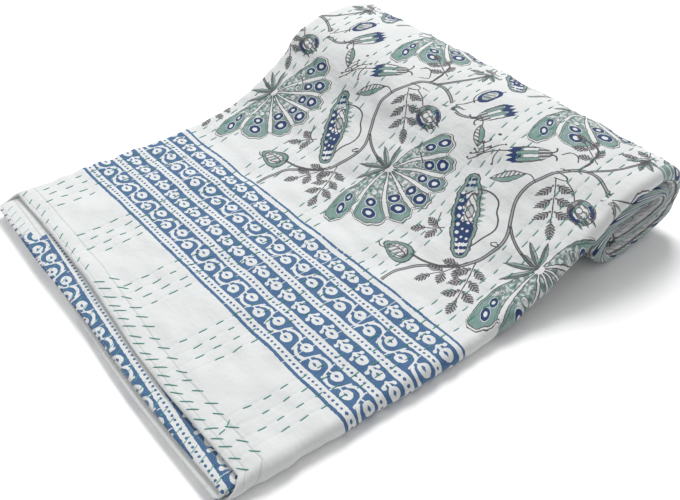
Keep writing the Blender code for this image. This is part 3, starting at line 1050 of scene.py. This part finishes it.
def print_border(ink, u, v):
    """Mask of the blue border: bands between white strips of dots. Two bands carry a waving
    vine with drops, and two a row of drops under three-lobed crowns. The vine is an arc round
    each drop, on the far side of it, and a slanting line that joins each arc to the next."""
    bands = ((57.9, 60.6), (67.6, 86.9), (94.2, 110.6), (118.0, 138.2), (144.8, 161.3),
             (165.8, 168.0))
    blue = ink.span(u, *bands[0])
    for band in bands[1:]:
        blue = blue + ink.span(u, *band)
    second = ink.math("GREATER_THAN", u, 114.0)

    x = u - ink.math("MULTIPLY_ADD", second, 51.2, 77.2)
    w = ink.math("MULTIPLY_ADD", second, -3.0, v + 1.0)
    unit = ink.math("ROUND", w / 17.03)
    side = ink.math("COSINE", unit * math.pi)
    local = w - unit * 17.03
    beside = x * side
    drop = drop_shape(ink, beside + 2.8, local)
    place = ink.join(beside, local)
    from_arc = ink.vector("DISTANCE", place, (-2.8, -2.4, 0.0))
    arc = ink.both(ink.line(from_arc, 9.1, 1.3), ink.over(beside, 1.5))
    curl = ink.vector("DISTANCE", place, (-5.4, 6.2, 0.0))
    curl = ink.both(ink.line(curl, 3.3, 0.6), ink.over(beside, -5.6), ink.over(local, 3.4))
    lower = w + 9.9
    unit = ink.math("ROUND", lower / 17.03)
    side = ink.math("COSINE", unit * math.pi)
    lower = lower - unit * 17.03
    beside = x * side
    joining = ink.both(ink.line(ink.math("MULTIPLY_ADD", beside, -0.36, lower), 0.0, 0.75),
                       ink.under(abs(x), 6.6))
    ticks = ink.both(ink.line(lower, 2.3, 0.5), ink.over(beside, 5.0))
    vine_white = ink.either(drop, arc, curl, joining, ticks)
    in_vine = ink.either(ink.span(u, 68.2, 86.3), ink.span(u, 118.6, 137.6))

    x = u - ink.math("MULTIPLY_ADD", second, 50.8, 102.4)
    w = ink.math("MULTIPLY_ADD", second, -4.0, v + 1.0)
    local = ink.wrap(w, -7.0, 10.03)
    drop = drop_shape(ink, x, local)
    place = ink.join(abs(x), local)
    hood = ink.both(ink.line(ink.vector("DISTANCE", place, (0.0, 2.9, 0.0)), 4.9, 0.75),
                    ink.over(local, 4.2))
    stalk = ink.both(ink.under(abs(x), 1.15), ink.span(local, 3.0, 9.0))
    tip = ink.either(ink.under(ink.vector("DISTANCE", place, (4.7, 5.6, 0.0)), 1.75),
                     ink.under(ink.vector("DISTANCE", place, (0.0, 8.2, 0.0)), 1.55))
    flower_white = ink.either(drop, hood, stalk, tip)
    in_flower = ink.either(ink.span(u, 94.8, 110.0), ink.span(u, 145.4, 160.7))

    white = ink.either(ink.both(vine_white, in_vine), ink.both(flower_white, in_flower))
    across = ink.wrap(v + u * 0.02, 0.0, REPEAT)
    hairs = ink.either(ink.line(across, 49.0, 0.32),
                       ink.both(ink.line(across, 146.5, 0.34), ink.over(u, 84.0)),
                       ink.both(ink.line(across, 126.0, 0.3), ink.over(u, 142.0)),
                       ink.both(ink.line(across, 124.0, 0.26), ink.under(u, 72.0)),
                       ink.both(ink.line(across, 118.0, 0.3), ink.over(u, 97.0)))
    blue = ink.without(ink.without(blue, white), hairs)
    strip = ink.math("MINIMUM", abs(u - 63.9), abs(u - 90.4))
    strip = ink.math("MINIMUM", strip, abs(u - 114.3))
    strip = ink.math("MINIMUM", strip, abs(u - 141.2))
    dots = ink.vector("LENGTH", ink.join(strip, ink.math("PINGPONG", v + 400.0, 2.2)))
    return ink.either(blue, ink.under(dots, 1.12))


def print_fold(ink, place, where):
    """Masks of the print on the near side's fold where it is rolled up: rings with pale
    middles, green blocks between them, and brown lines along the fold's lower half."""
    u, v, _ = ink.split(place)
    along = ink.wrap(u - 587.0, -14.0, 14.0)
    across = v + 189.0
    ring = ink.vector("LENGTH", ink.join(along, across * 1.15))
    high = ink.both(where, ink.span(across, -5.2, 6.0))
    navy = ink.both(ink.line(ring, 3.9, 1.5), high)
    blocks = ink.both(ink.over(abs(along), 6.6), ink.over(abs(abs(along) - 10.6), 0.6), high)
    low = ink.both(where, ink.under(across, -5.2))
    weave = ink.noise(ink.join(u / 3.0, v), 2.6, detail=1.0)
    lines = ink.either(ink.line(across, -5.6, 0.7), ink.both(ink.line(weave, 0.5, 0.02), low),
                       ink.both(ink.line(ring, 5.9, 0.25), high),
                       ink.both(ink.line(across, 6.2, 0.3), where))
    return ink.tone(blocks, 0.9), navy, ink.tone(ink.both(lines, where), 0.9)


def cotton_print(cloth):
    """The printed cotton: its ink masks, uneven ink, weave, puckers at the stitches and hem, and
    grey lines of painted shade along the hem's folds.
    """
    material = bpy.data.materials.new("printed_cotton")
    ink = Ink(material)
    metres = ink.attribute("cloth_place")["Vector"]
    place = ink.vector("SCALE", metres)
    place.node.inputs["Scale"].default_value = 1000.0
    u, v, side = ink.split(place)
    flat = ink.join(u, v)
    rough_edge = ink.noise(flat, 3.2, output="Color")
    slow = ink.noise(flat, 55.0, detail=1.0, output="Color")
    shake = ink.vector("MULTIPLY_ADD", rough_edge, (1.5, 1.5, 0.0), (-0.75, -0.75, 0.0))
    drift = ink.vector("MULTIPLY_ADD", slow, (5.0, 5.0, 0.0), (-2.5, -2.5, 0.0))
    drawn = ink.vector("ADD", flat, shake)
    field_place = ink.vector("ADD", drawn, drift)
    wavy = ink.vector("ADD", drawn, ink.vector("MULTIPLY", drift, (0.25, 0.25, 0.0)))

    front = ink.math("GREATER_THAN", side, 0.0)
    border_u, border_v, _ = ink.split(wavy)
    back_v = border_v - 190.0
    back_u = ink.math("MULTIPLY_ADD", back_v, 0.087, border_u + 88.9)
    shown_u = back_u + (border_u - back_u) * front
    border = print_border(ink, shown_u, border_v)
    ends = ink.both(ink.under(border_v, 242.0), ink.over(border_v, 190.0))
    cut = ink.either(ink.line(back_v, 53.5, 0.9), ink.line(back_v, 63.5, 0.9))
    hem = Value(ink, ink.attribute("from_hem")["Fac"]) * 1000.0 + v * 0.008
    started = ink.over(back_v - ink.math("GREATER_THAN", hem, 11.0) * 12.0, 55.0)
    back_border = ink.either(ink.both(border, started),
                             ink.both(cut, ink.span(back_u, 60.0, 120.0), ends))
    border = ink.either(ink.both(border, front), ink.without(back_border, front))

    prints = Printing(ink)
    print_field(ink, prints, field_place)
    on_fold = ink.both(ink.under(v, -182.5), ink.over(u, 398.0))
    in_field = ink.both(front, ink.over(u, FIELD_START), ink.without(1.0, on_fold))
    teal = ink.both(prints.masks["teal"], in_field)
    navy = ink.both(prints.masks["navy"], in_field)
    outline = ink.both(prints.masks["outline"], in_field)
    fold_teal, fold_navy, fold_outline = print_fold(ink, drawn, on_fold)
    teal = ink.either(teal, fold_teal)
    navy = ink.either(navy, fold_navy)
    outline = ink.either(outline, fold_outline)

    grain = ink.noise(flat, 0.9, detail=3.0, roughness=0.65)
    patch = ink.noise(flat, 9.0, detail=2.0)
    worn = ink.math("MULTIPLY_ADD", grain, 1.3, 0.35)
    density = ink.math("MULTIPLY_ADD", patch, 0.7, 0.62)
    cotton = (*cloth.cotton, 1.0)
    shade = ink.mix(patch, cotton, tuple(0.95 * c for c in cloth.cotton) + (1.0,))
    blue = ink.mix(patch, (*cloth.border_blue, 1.0), (0.058, 0.150, 0.270, 1.0))
    colour = ink.mix(ink.solid(teal) * density * worn, shade, (*cloth.teal, 1.0))
    colour = ink.mix(ink.solid(border) * ink.math("MULTIPLY_ADD", grain, 0.5, 0.74),
                     colour, blue)
    colour = ink.mix(ink.solid(navy) * ink.math("MULTIPLY_ADD", grain, 0.5, 0.78),
                     colour, (*cloth.navy, 1.0))
    colour = ink.mix(ink.solid(outline) * ink.math("MULTIPLY_ADD", grain, 0.7, 0.62),
                     colour, (*cloth.outline, 1.0))

    # Grey lines 3.6 and 15.5 mm in from the hem: painted shade along the hem's folded edge and its
    # inner edge
    painted_hem_shade = ink.either(ink.line(hem, 3.6, 0.25), ink.line(hem, 15.5, 0.35))
    colour = ink.mix(ink.tone(painted_hem_shade, 0.35), colour, (0.30, 0.31, 0.31, 1.0))
    beyond = ink.over(v, 196.0)
    tick = ink.wrap(v * -1.0 + patch * 5.0, -4.3, 4.3)
    wraps = ink.both(ink.line(tick, 0.0, 1.1), ink.under(hem, 3.4), beyond)
    slope = ink.wrap(v * -1.0 - hem * 0.55 + patch * 3.0, -4.9, 4.9)
    dashes = ink.both(ink.line(slope, 0.0, 0.45), ink.span(hem, 5.0, 11.5), beyond,
                      ink.without(1.0, front))
    colour = ink.mix(ink.tone(wraps, 0.85), colour, (*cloth.navy, 1.0))
    colour = ink.mix(ink.tone(dashes, 0.85), colour, (0.060, 0.260, 0.220, 1.0))
    ink.tree.links.new(colour, ink.shader.inputs["Base Color"])

    wander = ink.math("SINE", u / 70.0) * 1.4 + ink.math("SINE", u / 31.0 + 1.0) * 0.7
    from_top = ink.wrap(v * -1.0 + wander + (ROW_TOP + ROW_PITCH / 2 + 800.0), 0.0, BAND_PITCH)
    row = ink.wrap(from_top, 0.0, ROW_PITCH) - ROW_PITCH / 2
    in_rows = ink.under(from_top, ROWS_IN_BAND * ROW_PITCH, 4.0)
    pull = ink.solid(ink.both(ink.under(abs(row), 1.3, 2.2), in_rows))
    stretched = ink.vector("MULTIPLY", flat, (1.0, 0.33, 1.0))
    gathers = ink.noise(stretched, 4.5, detail=2.0, roughness=0.6)
    lumps = ink.noise(flat, 13.0, detail=3.0, roughness=0.55)
    threads = ink.math("SINE", u * 11.0) + ink.math("SINE", v * 11.0)
    height = gathers * 0.50 + lumps * 0.70 - pull * 0.20 + threads * 0.012
    height = height - ink.solid(ink.under(abs(hem - 15.5), 0.5, 1.6)) * 0.45
    height = height - ink.solid(ink.under(abs(hem - 3.6), 0.4, 1.2)) * 0.25
    height = height + grain * 0.05
    bump = ink.node("ShaderNodeBump", None,
                    {"Strength": 1.0, "Distance": 0.001, "Height": height})
    ink.tree.links.new(bump.outputs["Normal"], ink.shader.inputs["Normal"])
    roughness = ink.math("MULTIPLY_ADD", grain, 0.12, 0.80)
    ink.tree.links.new(roughness.socket, ink.shader.inputs["Roughness"])
    ink.shader.inputs["Sheen Weight"].default_value = 0.15
    ink.shader.inputs["Sheen Roughness"].default_value = 0.5
    ink.shader.inputs["Specular IOR Level"].default_value = 0.25
    return material


def thread_cotton(stitching):
    """The green-blue thread: two plies seen as slanting ridges with painted highlights on their
    tops, and a little uneven dye.
    """
    material = bpy.data.materials.new("quilting_thread")
    ink = Ink(material)
    run, turn, _ = ink.split(ink.attribute("thread_place")["Vector"])
    metres = ink.node("ShaderNodeTexCoord").outputs["Object"]
    tint = ink.noise(metres, 0.012, detail=2.0)
    deep = tuple(0.62 * c for c in stitching.colour) + (1.0,)
    colour = ink.mix(tint, deep, (*stitching.colour, 1.0))
    twist = ink.math("SINE", turn * (2 * math.pi) + run * 5.2)
    # Lighter colour on the top of each ply ridge, where the bump is highest: a painted highlight
    colour = ink.mix(ink.solid(ink.over(twist, 0.4, 1.0)) * 0.25, colour, (0.30, 0.52, 0.46, 1.0))
    ink.tree.links.new(colour, ink.shader.inputs["Base Color"])
    bump = ink.node("ShaderNodeBump", None,
                    {"Strength": 0.6, "Distance": 0.0001, "Height": twist})
    ink.tree.links.new(bump.outputs["Normal"], ink.shader.inputs["Normal"])
    ink.shader.inputs["Roughness"].default_value = 0.6
    ink.shader.inputs["Sheen Weight"].default_value = 0.2
    return material


def wander(along):
    """How far the stitch rows stray across the cloth, in metres: the sum of two sines."""
    u = along * 1000.0
    return (1.4 * np.sin(u / 70.0) + 0.7 * np.sin(u / 31.0 + 1.0)) / 1000.0


def quilting_stitches(sheet, stitching):
    """Starts and ends of the running stitches on the top face, as places on the cloth: rows in
    bands of four, each with its own start, and stitches a little uneven in length and slant."""
    chance = np.random.default_rng(21)
    last = float(sheet.along[sheet.top_rows].max()) - PLAIN_END
    starts, ends = [], []
    for band in range(BANDS):
        for row in range(ROWS_IN_BAND):
            across = (ROW_TOP - band * BAND_PITCH - row * ROW_PITCH) / 1000.0
            if abs(across) > LAST_ACROSS:
                continue
            first = 0.006 + 0.010 * chance.random() + (0.006 if row % 2 else 0.0)
            along = np.arange(first, last, stitching.pitch)
            along = along + chance.normal(0.0, 0.0007, len(along))
            size = stitching.length * chance.uniform(0.72, 1.12, len(along))
            stray = chance.normal(0.0, 0.00035, len(along))
            slant = size * (-0.035 + chance.normal(0.0, 0.02, len(along)))
            middle = across + wander(along + size / 2) + stray
            starts.append(np.column_stack([along, middle + slant / 2]))
            ends.append(np.column_stack([along + size, middle - slant / 2]))
    return np.concatenate(starts), np.concatenate(ends)


def hem_stitches(sheet):
    """Slanting stitches along the top hem: one column that leans one way on the far half, two
    columns that lean the other way on the near half, and a loose length of thread."""
    chance = np.random.default_rng(5)
    far = np.arange(0.181, 0.046, -0.0128)
    near = np.arange(0.038, -0.178, -0.0098)
    inner = np.arange(0.034, -0.176, -0.0128)
    rows = sheet.across[sheet.top_rows, 0]
    hem = sheet.along[sheet.top_rows, 0]

    def column(across, inset, run, rise):
        across = across + chance.normal(0.0, 0.0008, len(across))
        along = np.interp(across, rows, hem) + inset + chance.normal(0.0, 0.0005, len(across))
        run = run * chance.uniform(0.8, 1.15, len(across))
        rise = rise * chance.uniform(0.8, 1.2, len(across))
        return (np.column_stack([along, across]),
                np.column_stack([along + run, across + rise]))

    columns = [column(far, 0.0014, 0.0066, 0.0056), column(near, 0.0010, 0.0086, -0.0082),
               column(inner, 0.0130, 0.0080, -0.0078)]
    loose = np.array([(-0.0115, -0.1500), (-0.0045, -0.1483), (0.0018, -0.1430)])
    starts = np.concatenate([c[0] for c in columns] + [loose[:-1]])
    ends = np.concatenate([c[1] for c in columns] + [loose[1:]])
    edge = 0.187
    starts[:, 1] = np.clip(starts[:, 1], -edge, edge)
    ends[:, 1] = np.clip(ends[:, 1], -edge, edge)
    return starts, ends


def stitch_lines(sheet, starts, ends, thickness, steps=7):
    """Centre lines of the stitches: even steps from start to end on the cloth, raised by a
    low arch whose two ends dip into it."""
    share = np.linspace(0.0, 1.0, steps)
    places = starts[:, None] + (ends - starts)[:, None] * share[None, :, None]
    flat = places.reshape(-1, 2)
    points, normals = sheet.on_top(flat[:, 0], flat[:, 1])
    arch = 1.0 - np.abs(2 * share - 1.0) ** 5
    lift = thickness * (1.05 * arch - 0.85)
    points = points.reshape(len(starts), steps, 3)
    normals = normals.reshape(len(starts), steps, 3)
    return points + normals * lift[None, :, None], normals


def thread_mesh(name, lines, normals, thickness, sides=6):
    """Closed tubes round the centre lines: each ring is a circle in the plane of the surface
    normal and the direction square to it, and each end is closed by one face."""
    count, steps = lines.shape[:2]
    run = np.gradient(lines, axis=1)
    run = run / np.linalg.norm(run, axis=2, keepdims=True)
    beside = np.cross(run, normals)
    beside = beside / np.linalg.norm(beside, axis=2, keepdims=True)
    up = np.cross(beside, run)
    turn = np.arange(sides) / sides
    ring = 2 * math.pi * turn
    share = np.abs(np.linspace(-1.0, 1.0, steps)) ** 8
    radius = thickness / 2 * (1.0 - 0.35 * share)
    offset = (np.cos(ring)[None, None, :, None] * beside[:, :, None]
              + np.sin(ring)[None, None, :, None] * up[:, :, None])
    points = lines[:, :, None] + offset * radius[None, :, None, None]
    index = np.arange(count * steps * sides).reshape(count, steps, sides)
    after = np.roll(index, -1, axis=2)
    quads = np.stack([index[:, :-1], after[:, :-1], after[:, 1:], index[:, 1:]], axis=-1)
    caps = np.concatenate([index[:, 0, ::-1], index[:, -1]])
    mesh = mesh_from(name, points.reshape(-1, 3), quads.reshape(-1, 4), [caps])
    length = np.linalg.norm(np.diff(lines, axis=1), axis=2)
    length = np.concatenate([np.zeros((count, 1)), np.cumsum(length, axis=1)], axis=1)
    place = np.zeros((count, steps, sides, 3))
    place[..., 0] = length[:, :, None] / 0.001
    place[..., 1] = turn[None, None, :]
    add_attribute(mesh, "thread_place", "FLOAT_VECTOR", place.reshape(-1, 3))
    return mesh


def add_piece(name, mesh, material):
    """Put a finished mesh in the scene, on the one body, with the cloth's material slot."""
    mesh.materials.append(material)
    piece = bpy.data.objects.new(name, mesh)
    bpy.context.scene.collection.objects.link(piece)
    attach(piece, "root")
    return piece


SHEET = Sheet()


class QUILT_OT_make_cloth(bpy.types.Operator):
    """Make the folded and rolled cloth with its print"""
    bl_idname = "quilt.make_cloth"
    bl_label = "Make Cloth"

    def execute(self, context):
        cloth = context.scene.quilt_cloth
        points, quads, edge = closed_sheet(SHEET, cloth.puff, cloth.crinkle)
        mesh = mesh_from("quilt_cloth", points, quads)
        along, across = SHEET.along.ravel(), SHEET.across.ravel()
        count = len(along)
        place = np.zeros((len(points), 3))
        place[:count, 0] = place[count:2 * count, 0] = along
        place[:count, 1] = place[count:2 * count, 1] = across
        place[2 * count:, 0], place[2 * count:, 1] = along[edge], across[edge]
        place[:count, 2], place[count:2 * count, 2] = 1.0, -1.0
        add_attribute(mesh, "cloth_place", "FLOAT_VECTOR", place)
        from_hem = SHEET.from_hem.ravel()
        hem = np.concatenate([from_hem, from_hem, from_hem[edge]])
        add_attribute(mesh, "from_hem", "FLOAT", hem)
        printed = np.flatnonzero(along > 0.150)
        for number, stems in enumerate(STEM_SETS):
            field = np.zeros((len(points), 3))
            field[printed] = stem_field(stems, along[printed] * 1000, across[printed] * 1000)
            add_attribute(mesh, f"stems_{number + 1}", "FLOAT_VECTOR", field)
        piece = add_piece("quilt_cloth", mesh, cotton_print(cloth))
        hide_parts("quilt")
        return {"FINISHED"}


class QUILT_OT_make_stitching(bpy.types.Operator):
    """Make the running stitches and the slanting stitches of the hem"""
    bl_idname = "quilt.make_stitching"
    bl_label = "Make Stitching"

    def execute(self, context):
        stitching = context.scene.quilt_stitching
        material = thread_cotton(stitching)
        sets = {"running_stitches": quilting_stitches(SHEET, stitching),
                "hem_stitches": hem_stitches(SHEET)}
        for name, (starts, ends) in sets.items():
            lines, normals = stitch_lines(SHEET, starts, ends, stitching.thickness)
            add_piece(name, thread_mesh(name, lines, normals, stitching.thickness), material)
        return {"FINISHED"}


class QUILT_OT_make_stage(bpy.types.Operator):
    """Make the pale floor, the soft studio light and the camera"""
    bl_idname = "quilt.make_stage"
    bl_label = "Make Stage"

    def execute(self, context):
        scene = context.scene
        mesh = bpy.data.meshes.new("floor")
        corners = [(x * FLOOR_HALF, y * FLOOR_HALF, -FLOOR_DROP)
                   for x, y in ((-1, -1), (1, -1), (1, 1), (-1, 1))]
        mesh.from_pydata(corners, [], [(0, 1, 2, 3)])
        material = bpy.data.materials.new("floor")
        ink = Ink(material)
        ink.shader.inputs["Base Color"].default_value = (0.97, 0.97, 0.97, 1.0)
        ink.shader.inputs["Roughness"].default_value = 0.9
        ink.shader.inputs["Specular IOR Level"].default_value = 0.0
        mesh.materials.append(material)
        floor = bpy.data.objects.new("floor", mesh)
        scene.collection.objects.link(floor)

        world = bpy.data.worlds.new("studio")
        world.use_nodes = True
        backdrop = world.node_tree.nodes["Background"]
        backdrop.inputs["Color"].default_value = (1.0, 1.0, 1.0, 1.0)
        backdrop.inputs["Strength"].default_value = SKY_STRENGTH
        scene.world = world
        scene.view_settings.view_transform = "Standard"
        for box in SOFT_BOXES:
            light = bpy.data.lights.new("soft_box", "AREA")
            light.energy = box["power"]
            light.size = box["width"]
            lamp = bpy.data.objects.new("soft_box", light)
            lamp.location = box["place"]
            lamp.rotation_mode = "QUATERNION"
            ahead = Vector(LIT_POINT) - Vector(box["place"])
            lamp.rotation_quaternion = ahead.to_track_quat("-Z", "Y")
            scene.collection.objects.link(lamp)

        camera = bpy.data.cameras.new("camera")
        camera.sensor_width = CAMERA_SENSOR
        camera.lens = CAMERA_LENS
        view = bpy.data.objects.new("camera", camera)
        view.location = CAMERA_PLACE
        view.rotation_mode = "QUATERNION"
        view.rotation_quaternion = Vector(CAMERA_AHEAD).to_track_quat("-Z", "Y")
        scene.collection.objects.link(view)
        scene.camera = view
        return {"FINISHED"}


class QUILT_PT_panel(bpy.types.Panel):
    """Lists the quilt's sizes, colours and operators"""
    bl_label = "Quilt"
    bl_idname = "QUILT_PT_panel"
    bl_space_type = "VIEW_3D"
    bl_region_type = "UI"
    bl_category = "Quilt"

    def draw(self, context):
        for settings in (context.scene.quilt_cloth, context.scene.quilt_stitching):
            for name in settings.__annotations__:
                self.layout.prop(settings, name)
        for operator in OPERATORS:
            self.layout.operator(operator.bl_idname)


OPERATORS = (QUILT_OT_make_cloth, QUILT_OT_make_stitching, QUILT_OT_make_stage)
CLASSES = (QuiltCloth, QuiltStitching, *OPERATORS, QUILT_PT_panel)


def register():
    for entry in CLASSES:
        bpy.utils.register_class(entry)
    bpy.types.Scene.quilt_cloth = bpy.props.PointerProperty(type=QuiltCloth)
    bpy.types.Scene.quilt_stitching = bpy.props.PointerProperty(type=QuiltStitching)


def unregister():
    del bpy.types.Scene.quilt_stitching
    del bpy.types.Scene.quilt_cloth
    for entry in reversed(CLASSES):
        bpy.utils.unregister_class(entry)


def main():
    register()
    bpy.ops.quilt.make_cloth()
    bpy.ops.quilt.make_stitching()
    bpy.ops.quilt.make_stage()


if __name__ == "__main__":
    main()
